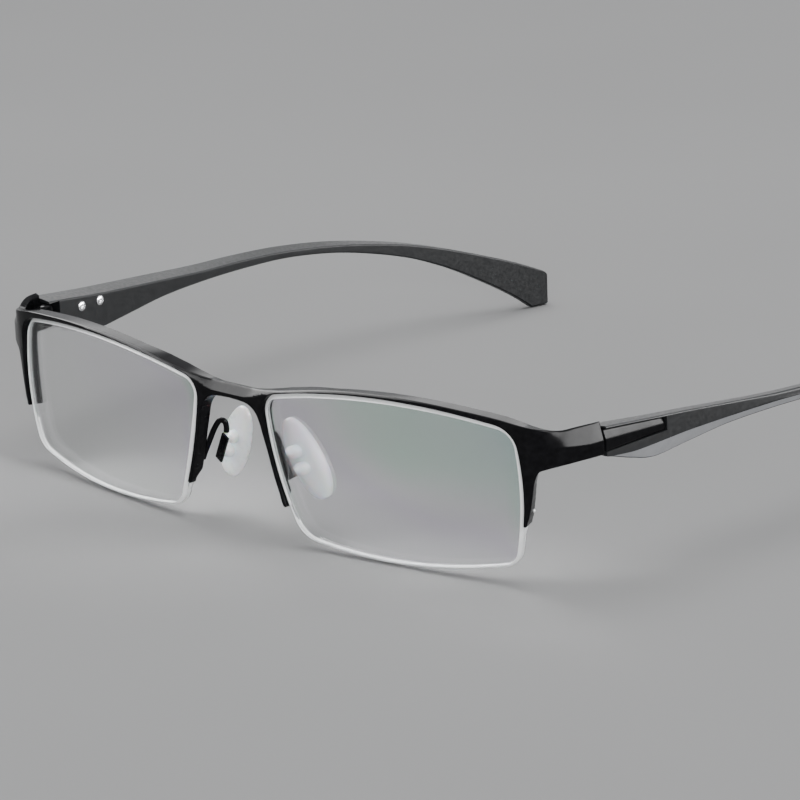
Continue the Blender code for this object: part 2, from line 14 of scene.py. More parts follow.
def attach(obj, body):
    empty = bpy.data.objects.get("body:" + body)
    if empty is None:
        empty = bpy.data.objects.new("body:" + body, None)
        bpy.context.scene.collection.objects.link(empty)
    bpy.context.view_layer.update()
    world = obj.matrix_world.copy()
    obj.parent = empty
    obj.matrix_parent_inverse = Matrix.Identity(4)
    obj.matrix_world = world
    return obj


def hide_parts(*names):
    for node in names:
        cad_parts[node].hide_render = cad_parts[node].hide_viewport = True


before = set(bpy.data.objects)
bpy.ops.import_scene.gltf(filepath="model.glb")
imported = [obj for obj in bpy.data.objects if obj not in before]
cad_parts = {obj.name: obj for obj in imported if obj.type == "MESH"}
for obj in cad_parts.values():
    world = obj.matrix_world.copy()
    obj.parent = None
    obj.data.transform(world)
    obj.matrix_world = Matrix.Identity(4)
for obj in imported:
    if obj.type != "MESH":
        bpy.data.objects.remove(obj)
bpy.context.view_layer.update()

MM = 0.001
SIDES = (("left", 1), ("right", -1))
CENTRE_Y = 73.42
GROUND_Z = -0.35

# Lenses.
LENS_X, LENS_Z = 36.1, 15.2
LENS_WRAP = math.radians(8.76)
LENS_TILT = math.radians(3.1)
LENS_SPHERE = 158.8
LENS_THICKNESS = 2.0
LENS_CORNERS = (
    ((-27.9, 11.4), 3.15, 3.25),
    ((26.1, 12.7), 1.6, 3.1),
    ((25.5, -12.5), 2.25, 2.5),
    ((-20.7, -14.05), 1.05, 3.05),
)
# Edge of a lens from its front face to its back: how far in from the outline, how far back. The notch
# in the middle is the groove for the cord.
LENS_EDGE = ((0.55, 0.0), (0.3, 0.14), (0.12, 0.36), (0.12, 0.64), (0.2, 0.7), (0.55, 0.82), (0.62, 1.0),
             (0.55, 1.18), (0.2, 1.3), (0.12, 1.36), (0.12, 1.7), (0.45, 2.0))

# Front.
PLAN = (
    (0, -2.8), (9, -2.8), (20, -2.5), (30, -1.6), (40, -0.2), (50, 1.8), (58, 3.8), (63, 5.3),
    (66, 6.9), (68.7, 9.05), (70.75, 11.65), (72.15, 14.35), (72.7, 17.2),
)
PLAN_Z = 31.0
TILT_FADES = (66.0, 74.0)
BROW_TOP = ((0, 27.55), (5, 27.6), (10.5, 28.3), (15.5, 29.2), (21, 30.2), (27, 31.0), (34, 31.5), (40, 31.6),
            (46.5, 31.4), (54, 30.8), (60, 30.1), (65, 29.2), (68.5, 28.65), (71.5, 28.35), (74.3, 28.7),
            (77, 28.9), (82, 28.9))
END_BOTTOM = ((82, 23.1), (80, 23.1), (76, 22.9), (72, 22.25), (69.6, 21.72))
BRIDGE_BOTTOM = ((0, 25.2), (3.4, 25.0), (5.2, 24.5), (6.5, 23.4), (7.3, 21.8), (7.9, 19.7), (8.7, 17.0),
                 (9.4, 14.3), (10.1, 11.7), (11.0, 9.0))
OUTER_LEG = ((20.3, 2.85), (18.6, 2.15), (16.0, 1.65), (13.8, 1.3), (12.0, 1.0))
OUTER_LEG_END = 10.6
INNER_LEG_END = 6.4
LEG_TIP_WIDTH = 0.9
BEAD_Z = 13.0
BROW_DEPTH, LEG_DEPTH, OUTER_LEG_DEPTH, END_DEPTH = 3.6, 2.8, 3.4, 2.3
# How far the top slopes down to its rear edge, along the front.
REAR_DROP = ((0, 0.6), (4, 0.6), (7, 0.4), (10, 0.2), (13, 0.0), (18, 0.0), (25, 0.4), (35, 0.35), (46, 0.25),
             (60, 0.25), (66, 0.5), (82, 0.5))
# Room between the metal rim and the lens outline, where the clear liner shows.
RIM_GAP = 0.33
LEG_TIP_DEPTH = 1.5
FRONT_EDGE = 0.28
# Height of the facet along the top of the front face, and how steeply it leans back.
TOP_FACET = ((0, 1.55), (5, 1.5), (8, 0.95), (10, 0.7), (14, 0.42), (28, 0.42), (36, 0.35), (46, 0.1),
             (50, 0.02), (82, 0.02))
CHAMFER_SLOPE = 0.95
# The end piece's outer face folds in above this height.
FOLD_Z = 25.55
FOLD_SLOPE = 0.4

# Nose pads and what holds them.
PAD_CENTRE = Vector((9.0, 8.2, 12.95))
PAD_UP = Vector((-0.46, -0.12, 0.88)).normalized()
PAD_FLARE = math.radians(81)
PAD_HALF = (8.1, 3.6, 1.5)
PAD_LUGS = (1.7, -1.7)
PLATE_HALF = (2.95, 0.95, 0.35)
PLATE_OUT = 4.8
# The plate and the lugs stand this way from the pad.
MOUNT_WAY = Vector((-0.19, -1, 0)).normalized()
ARM_RADIUS = 0.55
ARM_ROUTE = ((10.9, 1.2, 10.9), (10.4, 1.5, 12.5), (9.5, 1.8, 14.6), (8.6, 2.0, 16.6), (7.6, 2.1, 18.1),
             (6.8, 2.25, 18.7), (6.25, 2.6, 18.4), (6.2, 2.85, 17.7), (6.4, 3.1, 17.0), (6.55, 3.2, 16.3))

# Hinges.
AXIS_X, AXIS_Y = 68.5, 17.0
BARREL_RADIUS = 1.5
BORE_RADIUS = 0.9
MID_KNUCKLE = (23.5, 25.2)
HINGE_SCREW_Z = 26.72

# Temples: rows of y, outer x, top, ridge between the two outer facets, and bottom.
TEMPLE_FRONT = 17.7
TEMPLE_ROWS = (
    (17.7, 72.7, 28.05, 22.62, 22.6), (20, 72.7, 27.85, 22.35, 22.0), (25, 72.8, 27.35, 21.95, 20.5),
    (31, 73.0, 26.8, 22.1, 19.3), (39, 73.4, 26.15, 22.5, 20.0), (50, 74.2, 25.2, 22.75, 21.1),
    (62, 75.0, 24.2, 22.8, 21.4), (74, 75.6, 23.6, 22.4, 21.2), (86, 75.3, 22.9, 21.8, 20.8),
    (98, 74.0, 21.6, 20.5, 19.5), (108, 72.3, 19.9, 18.7, 17.5), (118, 70.0, 17.7, 16.2, 14.7),
    (127, 67.2, 15.1, 13.0, 11.0), (135, 64.4, 12.4, 9.4, 6.6), (141, 62.4, 10.2, 6.3, 2.9),
    (145.5, 61.2, 8.3, 3.9, GROUND_Z), (149.5, 60.3, 6.5, 3.0, GROUND_Z),
)
TEMPLE_THICKNESS = (4.8, 2.4)
WINDOW_END = 33.5
WINDOW_FLOOR = 70.6
TONGUE_OUTER = 72.72
TEMPLE_SCREWS = (("front", 26.3), ("rear", 31.4))
TEMPLE_SCREW_Z = 24.8


def mix(a, b, t):
    """The value this share of the way from a to b."""
    return a + (b - a) * t


def smooth_step(low, high, value):
    """Rises smoothly from 0 at low to 1 at high."""
    t = min(max((value - low) / (high - low), 0.0), 1.0)
    return t * t * (3 - 2 * t)


def through(points, steps):
    """A smooth curve through the points, as a list with this many steps between each two."""
    points = [Vector(p) for p in points]
    ends = [points[0] * 2 - points[1]] + points + [points[-1] * 2 - points[-2]]
    curve = []
    for a, b, c, d in zip(ends, ends[1:], ends[2:], ends[3:]):
        for step in range(steps):
            t = step / steps
            curve.append((b * 2 + (c - a) * t + (a * 2 - b * 5 + c * 4 - d) * t**2
                          + (b * 3 - a - c * 3 + d) * t**3) / 2)
    return curve + [points[-1]]


def along(points, value):
    """The point of a curve at this value of its first coordinate."""
    for a, b in zip(points, points[1:]):
        if min(a[0], b[0]) <= value <= max(a[0], b[0]):
            return a.lerp(b, (value - a[0]) / (b[0] - a[0]) if a[0] != b[0] else 0)
    return points[0] if abs(value - points[0][0]) < abs(value - points[-1][0]) else points[-1]


def resample(points, spacing):
    """Points at an even spacing along a line of points, both ends kept."""
    lengths = [0.0]
    for a, b in zip(points, points[1:]):
        lengths.append(lengths[-1] + (b - a).length)
    count = max(1, round(lengths[-1] / spacing))
    even = []
    place = 0
    for i in range(count):
        target = lengths[-1] * i / count
        while lengths[place + 1] < target:
            place += 1
        share = (target - lengths[place]) / (lengths[place + 1] - lengths[place])
        even.append(points[place].lerp(points[place + 1], share))
    return even + [points[-1]]


def lens_shape(inset, side_steps=40, corner_steps=12):
    """The lens outline around its centre, clockwise from the top corner by the nose, moved in by inset."""
    sides = []
    for (start, bulge, cut), (end, _, next_cut) in zip(LENS_CORNERS, LENS_CORNERS[1:] + LENS_CORNERS[:1]):
        a, c = Vector(start), Vector(end)
        chord = c - a
        handle = (a + c) / 2 + Vector((-chord.y, chord.x)).normalized() * bulge * 2
        first, last = cut / chord.length, 1 - next_cut / chord.length
        times = [mix(first, last, i / side_steps) for i in range(side_steps + 1)]
        sides.append([a * (1 - t)**2 + handle * 2 * t * (1 - t) + c * t**2 for t in times])
    outline = []
    for side, after in zip(sides, sides[1:] + sides[:1]):
        outline += side
        p, q = side[-1], after[0]
        d, e = side[-1] - side[-2], after[0] - after[1]
        reach = ((q - p).x * e.y - (q - p).y * e.x) / (d.x * e.y - d.y * e.x)
        corner = p + d * reach
        for i in range(1, corner_steps):
            t = i / corner_steps
            weights = ((1 - t)**2, 1.5 * t * (1 - t), t**2)
            outline.append((p * weights[0] + corner * weights[1] + q * weights[2]) / sum(weights))
    count = len(outline)
    moved = []
    for i in range(count):
        run = outline[(i + 1) % count] - outline[i - 1]
        moved.append(outline[i] + Vector((run.y, -run.x)).normalized() * inset)
    return moved


def lens_point(u, v, back=0.0):
    """A point of the left lens's front face, or this far behind it, from its place around the centre."""
    bow = LENS_SPHERE - math.sqrt(LENS_SPHERE**2 - u * u - v * v) + back
    y = bow * math.cos(LENS_TILT) - v * math.sin(LENS_TILT)
    z = v * math.cos(LENS_TILT) + bow * math.sin(LENS_TILT)
    x = u * math.cos(LENS_WRAP) - y * math.sin(LENS_WRAP)
    return Vector((LENS_X + x, u * math.sin(LENS_WRAP) + y * math.cos(LENS_WRAP), LENS_Z + z))


PLAN_LINE = resample(through(PLAN, 20), 0.25)
PLAN_STEP = sum((b - a).length for a, b in zip(PLAN_LINE, PLAN_LINE[1:])) / (len(PLAN_LINE) - 1)
SEAM = PLAN_STEP * (len(PLAN_LINE) - 1)
TOP_LINE = through(BROW_TOP, 10)
DROP_LINE = [Vector(p) for p in REAR_DROP]
CHAMFER_LINE = [Vector(p) for p in TOP_FACET]


def plan_frame(s):
    """The plan line's point at this length from the middle, and its direction there, turning smoothly."""
    place = min(s / PLAN_STEP, len(PLAN_LINE) - 1.001)
    i = int(place)
    point = PLAN_LINE[i].lerp(PLAN_LINE[i + 1], place - i)
    low, high = max(i - 3, 0), min(i + 4, len(PLAN_LINE) - 1)
    return point, (PLAN_LINE[high] - PLAN_LINE[low]).normalized()


def plan_length(x):
    """The length along the plan line at which it reaches this x."""
    for i, (a, b) in enumerate(zip(PLAN_LINE, PLAN_LINE[1:])):
        if b.x >= x:
            return (i + (x - a.x) / (b.x - a.x)) * PLAN_STEP
    return SEAM


def front_depth(s, z):
    """How deep the front is behind its front face."""
    nose_leg = mix(LEG_TIP_DEPTH, LEG_DEPTH, smooth_step(8.2, 9.0, z))
    leg = mix(nose_leg, OUTER_LEG_DEPTH, smooth_step(30.0, 50.0, abs(s)))
    bar = mix(leg, BROW_DEPTH, smooth_step(22.0, 27.0, z))
    return mix(bar, END_DEPTH, smooth_step(64.0, 71.0, abs(s)))


def fold(s, z):
    """How far the outer face of the end piece leans in above its fold."""
    rise = z - FOLD_Z
    soft = (rise + math.sqrt(rise * rise + 0.02)) / 2
    return FOLD_SLOPE * soft * smooth_step(66.0, 72.0, abs(s))


def chamfer(s, z):
    """How far the top of the front face leans back, broad on the bridge and fine on the brow."""
    top = along(TOP_LINE, abs(s)).y
    return CHAMFER_SLOPE * max(0.0, z - top + along(CHAMFER_LINE, abs(s)).y)


def front_point(s, z, back):
    """The front's point at this length and height, this far behind its front face."""
    point, run = plan_frame(abs(s))
    depth = front_depth(s, z)
    share = back / depth
    back += (fold(s, z) + chamfer(s, z)) * (1 - share)
    lean = math.tan(LENS_TILT) * (PLAN_Z - z) * (1 - smooth_step(*TILT_FADES, abs(s)))
    top = along(TOP_LINE, abs(s)).y
    drop = along(DROP_LINE, abs(s)).y * share * smooth_step(top - 1.5, top, z)
    return Vector((math.copysign(point.x - run.y * back, s), point.y + run.x * back + lean, z - drop))


def front_outline():
    """Half of the front's outline as lengths and heights, from the bridge's top to its underside."""
    top = [Vector((SEAM * i / 90, along(TOP_LINE, SEAM * i / 90).y)) for i in range(91)]
    bottom = [p for p in through(END_BOTTOM, 8) if p.x < SEAM]
    lens = [lens_point(p.x, p.y) for p in lens_shape(-RIM_GAP)]
    rim = [Vector((plan_length(p.x), p.z)) for p in lens]
    lowest = min(range(len(rim)), key=lambda i: rim[i].y + (abs(rim[i].x - 36) > 5) * 9)
    rim = rim[lowest:] + rim[:lowest]
    split = max(range(len(rim)), key=lambda i: rim[i].y)
    inner = [p for p in rim[:split] if p.x < 30 and p.y > INNER_LEG_END]
    outer = [p for p in rim[split:] if p.x > 40 and p.y > OUTER_LEG_END]
    middle = [p for p in rim[:split] if p.x >= 30 and p.y > 20]
    middle += [p for p in rim[split:] if p.x <= 40 and p.y > 20]
    rim_up = list(reversed(inner + middle + outer))
    side = [Vector((p.y, p.x)) for p in outer]
    leg = [Vector((along(side, z).y + width, z)) for z, width in OUTER_LEG]
    leg = through([Vector((68.4, 21.38)), Vector((67.3, 20.98))] + leg, 6)
    foot = rim_up[0]
    leg_foot = [foot + Vector((LEG_TIP_WIDTH, 0.9)), foot + Vector((LEG_TIP_WIDTH * 0.8, 0.1)),
                foot + Vector((LEG_TIP_WIDTH * 0.4, -0.15))]
    toe = rim_up[-1]
    nose_foot = [toe + Vector((-LEG_TIP_WIDTH * 0.5, -0.3)), toe + Vector((-LEG_TIP_WIDTH, -0.1)),
                 toe + Vector((-LEG_TIP_WIDTH - 0.35, 0.7))]
    nose = list(reversed(through([Vector(p) for p in BRIDGE_BOTTOM], 8)))
    return top + [Vector((SEAM, END_BOTTOM[0][1]))] + bottom + leg + leg_foot + rim_up + nose_foot + nose


def place(point, side=1):
    """A point in millimetres, mirrored for the right, in metres."""
    x, y, z = point
    return Vector((x * side, y - CENTRE_Y, z - GROUND_Z)) * MM


# ---- materials ----


def shader_of(name, **values):
    """A new material with its Principled shader's own sockets set."""
    made = bpy.data.materials.new(name)
    made.use_nodes = True
    shader = made.node_tree.nodes["Principled BSDF"]
    for socket, value in values.items():
        shader.inputs[socket.replace("_", " ")].default_value = value
    return made, made.node_tree, shader


def noise(tree, scale, detail=3.0, stretch=(1, 1, 1), rough=0.5):
    """Noise in the object's own space, in features per metre."""
    where = tree.nodes.new("ShaderNodeTexCoord")
    turn = tree.nodes.new("ShaderNodeMapping")
    turn.inputs["Scale"].default_value = stretch
    made = tree.nodes.new("ShaderNodeTexNoise")
    made.inputs["Scale"].default_value = scale
    made.inputs["Detail"].default_value = detail
    made.inputs["Roughness"].default_value = rough
    tree.links.new(where.outputs["Object"], turn.inputs["Vector"])
    tree.links.new(turn.outputs["Vector"], made.inputs["Vector"])
    return made.outputs["Fac"]


def ramp(tree, source, stops):
    """A colour ramp from this value: stops of place and colour."""
    made = tree.nodes.new("ShaderNodeValToRGB")
    elements = made.color_ramp.elements
    while len(elements) < len(stops):
        elements.new(0.5)
    for element, (where, colour) in zip(elements, stops):
        element.position = where
        element.color = colour if len(colour) == 4 else (*colour, 1)
    tree.links.new(source, made.inputs["Fac"])
    return made.outputs["Color"]


def spread(tree, source, low, high, start=0.3, end=0.7):
    """The value mapped from start..end to low..high."""
    made = tree.nodes.new("ShaderNodeMapRange")
    made.inputs["From Min"].default_value = start
    made.inputs["From Max"].default_value = end
    made.inputs["To Min"].default_value = low
    made.inputs["To Max"].default_value = high
    tree.links.new(source, made.inputs["Value"])
    return made.outputs["Result"]


def bump(tree, shader, source, strength, distance):
    """Fine relief from this value on the shader."""
    made = tree.nodes.new("ShaderNodeBump")
    made.inputs["Strength"].default_value = strength
    made.inputs["Distance"].default_value = distance
    tree.links.new(source, made.inputs["Height"])
    tree.links.new(made.outputs["Normal"], shader.inputs["Normal"])


def black_metal():
    """Black coated light alloy: a faint fine spray texture, a little brighter and smoother in patches."""
    made, tree, shader = shader_of("black_coated_metal", IOR=1.15)
    tone = noise(tree, 900, 4)
    tree.links.new(ramp(tree, tone, [(0.3, (0.004, 0.004, 0.0045)), (0.7, (0.008, 0.008, 0.009))]),
                   shader.inputs["Base Color"])
    tree.links.new(spread(tree, noise(tree, 260, 3), 0.13, 0.2), shader.inputs["Roughness"])
    bump(tree, shader, noise(tree, 9000, 2), 0.05, 0.00002)
    return made


def plastic(name, dark, light, low, high):
    """Moulded nylon with a fine even grain."""
    made, tree, shader = shader_of(name, IOR=1.33)
    tree.links.new(ramp(tree, noise(tree, 500, 4), [(0.3, dark), (0.7, light)]), shader.inputs["Base Color"])
    tree.links.new(spread(tree, noise(tree, 1500, 3), low, high), shader.inputs["Roughness"])
    bump(tree, shader, noise(tree, 6500, 3), 0.12, 0.00003)
    return made


def steel():
    """Bright screw steel with fine turning marks."""
    made, tree, shader = shader_of("screw_steel", Metallic=1.0)
    tone = ramp(tree, noise(tree, 2500, 3), [(0.3, (0.72, 0.73, 0.74)), (0.7, (0.86, 0.86, 0.87))])
    tree.links.new(tone, shader.inputs["Base Color"])
    tree.links.new(spread(tree, noise(tree, 4000, 3), 0.12, 0.24), shader.inputs["Roughness"])
    bump(tree, shader, noise(tree, 12000, 2), 0.1, 0.00001)
    return made


def silicone():
    """Soft translucent silicone: milky, with a faintly cloudy body and a satin skin."""
    made, tree, shader = shader_of("pad_silicone", IOR=1.41, Subsurface_Weight=0.35, Subsurface_Scale=0.002,
                                   Coat_Weight=0.3, Coat_Roughness=0.12)
    tree.links.new(ramp(tree, noise(tree, 220, 2), [(0.3, (0.76, 0.79, 0.8)), (0.7, (0.82, 0.85, 0.86))]),
                   shader.inputs["Base Color"])
    tree.links.new(spread(tree, noise(tree, 900, 3), 0.24, 0.34), shader.inputs["Roughness"])
    bump(tree, shader, noise(tree, 3000, 2), 0.05, 0.00003)
    return made


def arithmetic(tree, kind, first, second):
    """A Math node of this kind, whose second input is a number or a socket."""
    made = tree.nodes.new("ShaderNodeMath")
    made.operation = kind
    tree.links.new(first, made.inputs[0])
    if isinstance(second, (int, float)):
        made.inputs[1].default_value = second
    else:
        tree.links.new(second, made.inputs[1])
    return made.outputs["Value"]


def lens_glass():
    """Clear lens whose body colour is painted with the anti-reflection coat's reflection: green seen square
    on, violet a little aslant, then neutral.

    The body hardly bends light, so that what is behind it stays in place; the coat gives the reflection.
    """
    made, tree, shader = shader_of("lens_painted_reflection", IOR=1.04, Transmission_Weight=1.0, Roughness=0.0, Alpha=0.8,
                                   Coat_Weight=0.7, Coat_Roughness=0.0)
    fresnel = tree.nodes.new("ShaderNodeFresnel")
    fresnel.inputs["IOR"].default_value = 1.5
    slant = arithmetic(tree, "POWER", spread(tree, fresnel.outputs["Fac"], 0.0, 1.0, 0.04, 0.105), 0.5)
    where = tree.nodes.new("ShaderNodeTexCoord")
    parts = tree.nodes.new("ShaderNodeSeparateXYZ")
    tree.links.new(where.outputs["Object"], parts.inputs["Vector"])
    # Painted reflection: the colour fades to neutral towards the bottom of the lens, where the coat's
    # coloured reflection does not show.
    low = spread(tree, parts.outputs["Z"], 0.3, 0.0, 0.003, 0.022)
    cloud = spread(tree, noise(tree, 40, 1), -0.06, 0.06)
    value = arithmetic(tree, "ADD", arithmetic(tree, "ADD", slant, low), cloud)
    # Painted reflection: these green and violet stops stand in for the coat's coloured reflection of the
    # lamps, put into the body colour.
    painted_reflection_stops = [(0.08, (0.36, 0.72, 0.52)), (0.24, (0.52, 0.8, 0.64)), (0.36, (0.8, 0.8, 0.84)),
               (0.44, (0.74, 0.66, 0.84)), (0.56, (0.8, 0.77, 0.85)), (0.9, (0.85, 0.86, 0.86))]
    painted_reflection_tint = ramp(tree, value, painted_reflection_stops)
    tree.links.new(painted_reflection_tint, shader.inputs["Base Color"])
    return made


def ground_glass(name, dark, light):
    """The ground edge of the lens: frosted, with fine grinding lines."""
    made, tree, shader = shader_of(name, IOR=1.5, Coat_Weight=0.3, Coat_Roughness=0.15)
    tree.links.new(ramp(tree, noise(tree, 700, 4), [(0.3, dark), (0.7, light)]), shader.inputs["Base Color"])
    tree.links.new(spread(tree, noise(tree, 1800, 3), 0.3, 0.5), shader.inputs["Roughness"])
    bump(tree, shader, noise(tree, 5000, 3), 0.15, 0.00003)
    return made


def nylon():
    """Clear nylon line with a soft shine."""
    made, tree, shader = shader_of("clear_nylon_line", IOR=1.53, Transmission_Weight=0.15, Coat_Weight=0.4,
                                   Coat_Roughness=0.08)
    tone = ramp(tree, noise(tree, 800, 3), [(0.3, (0.88, 0.9, 0.9)), (0.7, (0.98, 0.98, 0.98))])
    tree.links.new(tone, shader.inputs["Base Color"])
    tree.links.new(spread(tree, noise(tree, 1600, 2), 0.12, 0.26), shader.inputs["Roughness"])
    bump(tree, shader, noise(tree, 4000, 2), 0.08, 0.00003)
    return made


# ---- building ----


def mesh_object(name, bm, looks, side=1, crisp=35, weighted=True):
    """An object from a bmesh in millimetres, mirrored for the right, with smooth faces and crisp corners."""
    bm.normal_update()
    bmesh.ops.recalc_face_normals(bm, faces=bm.faces)
    for vertex in bm.verts:
        vertex.co = place(vertex.co, side)
    if side < 0:
        bmesh.ops.reverse_faces(bm, faces=bm.faces)
    mesh = bpy.data.meshes.new(name)
    bm.to_mesh(mesh)
    bm.free()
    for look in looks if isinstance(looks, (list, tuple)) else [looks]:
        mesh.materials.append(look)
    mesh.shade_smooth()
    mesh.set_sharp_from_angle(angle=math.radians(crisp))
    made = bpy.data.objects.new(name, mesh)
    bpy.context.scene.collection.objects.link(made)
    if weighted:
        modifier = made.modifiers.new("Normals", "WEIGHTED_NORMAL")
        modifier.keep_sharp = True
    return made


def loft(bm, rings, closed_ends=True, closed_rings=True):
    """Skin between rings of points of equal count, with the ends filled."""
    loops = [[bm.verts.new(p) for p in ring] for ring in rings]
    for low, high in zip(loops, loops[1:]):
        for i in range(len(low) if closed_rings else len(low) - 1):
            j = (i + 1) % len(low)
            bm.faces.new((low[i], low[j], high[j], high[i]))
    if closed_ends:
        bm.faces.new(reversed(loops[0]))
        bm.faces.new(loops[-1])
    return loops


def wire(name, points, radius, look, side=1, taper=None):
    """A round wire through the points, as a mesh of rings."""
    points = [Vector(p) for p in points]
    bm = bmesh.new()
    rings = []
    across = Vector((0, 1, 0))
    for i, point in enumerate(points):
        run = (points[min(i + 1, len(points) - 1)] - points[max(i - 1, 0)]).normalized()
        across = (across - run * across.dot(run)).normalized()
        third = run.cross(across)
        size = radius * (taper(i / (len(points) - 1)) if taper else 1)
        rings.append([point + (across * math.cos(a) + third * math.sin(a)) * size
                      for a in [math.tau * k / 16 for k in range(16)]])
    loft(bm, rings)
    return mesh_object(name, bm, look, side, 50, weighted=False)


def boxed(bm, low, high, edge=0.0):
    """Adds a box with slightly rounded edges."""
    made = bmesh.new()
    bmesh.ops.create_cube(made, size=1.0)
    low, high = Vector(low), Vector(high)
    for vertex in made.verts:
        vertex.co = Vector([mix(a, b, c + 0.5) for a, b, c in zip(low, high, vertex.co)])
    if edge:
        bmesh.ops.bevel(made, geom=made.edges[:], offset=edge, segments=3, profile=0.5, affect="EDGES")
    add(bm, made)


def add(bm, other):
    """Adds another bmesh to this one and frees it."""
    mesh = bpy.data.meshes.new("part")
    other.to_mesh(mesh)
    other.free()
    bm.from_mesh(mesh)
    bpy.data.meshes.remove(mesh)


def cut(target, bm, side):
    """Cuts a bmesh in millimetres out of an object, and applies it."""
    tool = mesh_object("cutter", bm, target.data.materials[0], side, weighted=False)
    modifier = target.modifiers.new("Cut", "BOOLEAN")
    modifier.operation = "DIFFERENCE"
    modifier.object = tool
    modifier.solver = "EXACT"
    bpy.context.view_layer.update()
    mesh = bpy.data.meshes.new_from_object(target.evaluated_get(bpy.context.evaluated_depsgraph_get()))
    target.modifiers.remove(modifier)
    old = target.data
    target.data = mesh
    mesh.name = target.name
    bpy.data.meshes.remove(old)
    bpy.data.objects.remove(tool)


def build_front(look):
    """The metal front: a flat outline with rounded edges, cut into a grid and bent round the plan line."""
    half = front_outline()
    other = [Vector((-p.x, p.y)) for p in reversed(half) if p.x > 1e-4]
    curve = bpy.data.curves.new("front_outline", "CURVE")
    curve.dimensions = "2D"
    curve.fill_mode = "BOTH"
    reach = 3.0
    curve.extrude = reach - FRONT_EDGE
    curve.bevel_depth = FRONT_EDGE
    curve.bevel_resolution = 2
    curve.offset = -FRONT_EDGE
    spline = curve.splines.new("POLY")
    outline = half + other
    spline.points.add(len(outline) - 1)
    for slot, point in zip(spline.points, outline):
        slot.co = (point.x, point.y, 0, 1)
    spline.use_cyclic_u = True
    flat = bpy.data.objects.new("front_outline", curve)
    bpy.context.scene.collection.objects.link(flat)
    bpy.context.view_layer.update()
    mesh = bpy.data.meshes.new_from_object(flat.evaluated_get(bpy.context.evaluated_depsgraph_get()))
    bpy.data.objects.remove(flat)
    bm = bmesh.new()
    bm.from_mesh(mesh)
    bpy.data.meshes.remove(mesh)
    bmesh.ops.remove_doubles(bm, verts=bm.verts, dist=1e-4)
    heights = [20 + i for i in range(13)] + [25.75 + 0.25 * i for i in range(12)]
    heights += [FOLD_Z + d for d in (-0.35, -0.15, 0.05, 0.25, 0.5)]
    for s in range(-78, 79):
        bmesh.ops.bisect_plane(bm, geom=bm.verts[:] + bm.edges[:] + bm.faces[:], plane_co=(s, 0, 0),
                               plane_no=(1, 0, 0), dist=1e-4)
    for z in heights:
        bmesh.ops.bisect_plane(bm, geom=bm.verts[:] + bm.edges[:] + bm.faces[:], plane_co=(0, z, 0),
                               plane_no=(0, 1, 0), dist=1e-4)
    for vertex in bm.verts:
        s, z, layer = vertex.co
        back = reach - layer if layer > 0 else front_depth(s, z) - (layer + reach)
        vertex.co = front_point(s, z, back)
    made = mesh_object("front_shell", bm, look, 1, 50)
    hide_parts("front_frame")
    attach(made, "front")


def build_lens(name, side, glass, edge_look, groove_painted_shade):
    """A meniscus lens: two spherical faces, and a ground edge in a finish of its own, with a groove coloured
    dark as painted shade.
    """
    bm = bmesh.new()
    front_edge = lens_shape(LENS_EDGE[0][0])
    faces = []
    for back in (0.0, LENS_THICKNESS):
        rings = [[lens_point(p.x * t, p.y * t, back) for p in front_edge]
                 for t in (1, 0.9, 0.75, 0.6, 0.45, 0.3, 0.15)]
        loops = loft(bm, rings, closed_ends=False)
        centre = bm.verts.new(lens_point(0, 0, back))
        for a, b in zip(loops[-1], loops[-1][1:] + loops[-1][:1]):
            bm.faces.new((a, b, centre))
        faces.append(loops[0])
    rings = [[lens_point(p.x, p.y, back) for p in lens_shape(inset)] for inset, back in LENS_EDGE[1:-1]]
    loops = [faces[0]] + [[bm.verts.new(p) for p in ring] for ring in rings] + [faces[1]]
    for (low, high), (start, end) in zip(zip(loops, loops[1:]), zip(LENS_EDGE, LENS_EDGE[1:])):
        # Faces inside the cord's groove take the dark material: painted shade in the recess.
        in_shaded_groove = max(start[0], end[0]) > 0.3 and 0.5 < start[1] < 1.4
        for i in range(len(low)):
            j = (i + 1) % len(low)
            face = bm.faces.new((low[i], low[j], high[j], high[i]))
            face.material_index = 2 if in_shaded_groove else 1 if end[1] < 1.4 else 0
    looks = [glass, edge_look, groove_painted_shade]
    made = mesh_object(f"lens_painted_reflection_{name}", bm, looks, side, 28, weighted=False)
    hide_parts(f"lens_{name}")
    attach(made, "front")


def lens_edge(inset, back, keep):
    """The stretch of the lens outline whose points pass this test, in order and unbroken."""
    edge = [lens_point(p.x, p.y, back) for p in lens_shape(inset)]
    kept = [keep(p) for p in edge]
    start = next(i for i in range(len(edge)) if kept[i] and not kept[i - 1])
    turned = edge[start:] + edge[:start]
    return [p for p in turned if keep(p)]


def build_edge_wires(name, side, look):
    """The clear liner between rim and lens, and the nylon cord in the lens's groove."""
    def beside_rim(p):
        return p.z > (OUTER_LEG_END if p.x > LENS_X else INNER_LEG_END) + 0.3

    def below_rim(p):
        return p.z < (OUTER_LEG_END if p.x > LENS_X else INNER_LEG_END) + 0.4

    liner = wire(f"clear_liner_{name}", resample(lens_edge(0.02, 0.75, beside_rim), 0.7), 0.31, look, side)
    cord_line = resample(lens_edge(0.34, 1.0, below_rim), 0.7)
    # Each end of the cord leaves the groove and goes up into the tip of its rim leg.
    for end, outward in ((cord_line[:5], 1), (cord_line[-5:][::-1], -1)):
        for i, point in enumerate(end):
            point.x += 0.55 * outward * (1 - smooth_step(0, 4, i))
    cord = wire(f"nylon_cord_{name}", cord_line, 0.3, look, side)
    add_bead(cord, look, side)
    for made, node in ((liner, "rim_liner"), (cord, "lens_cord")):
        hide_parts(f"{node}_{name}")
        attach(made, "front")


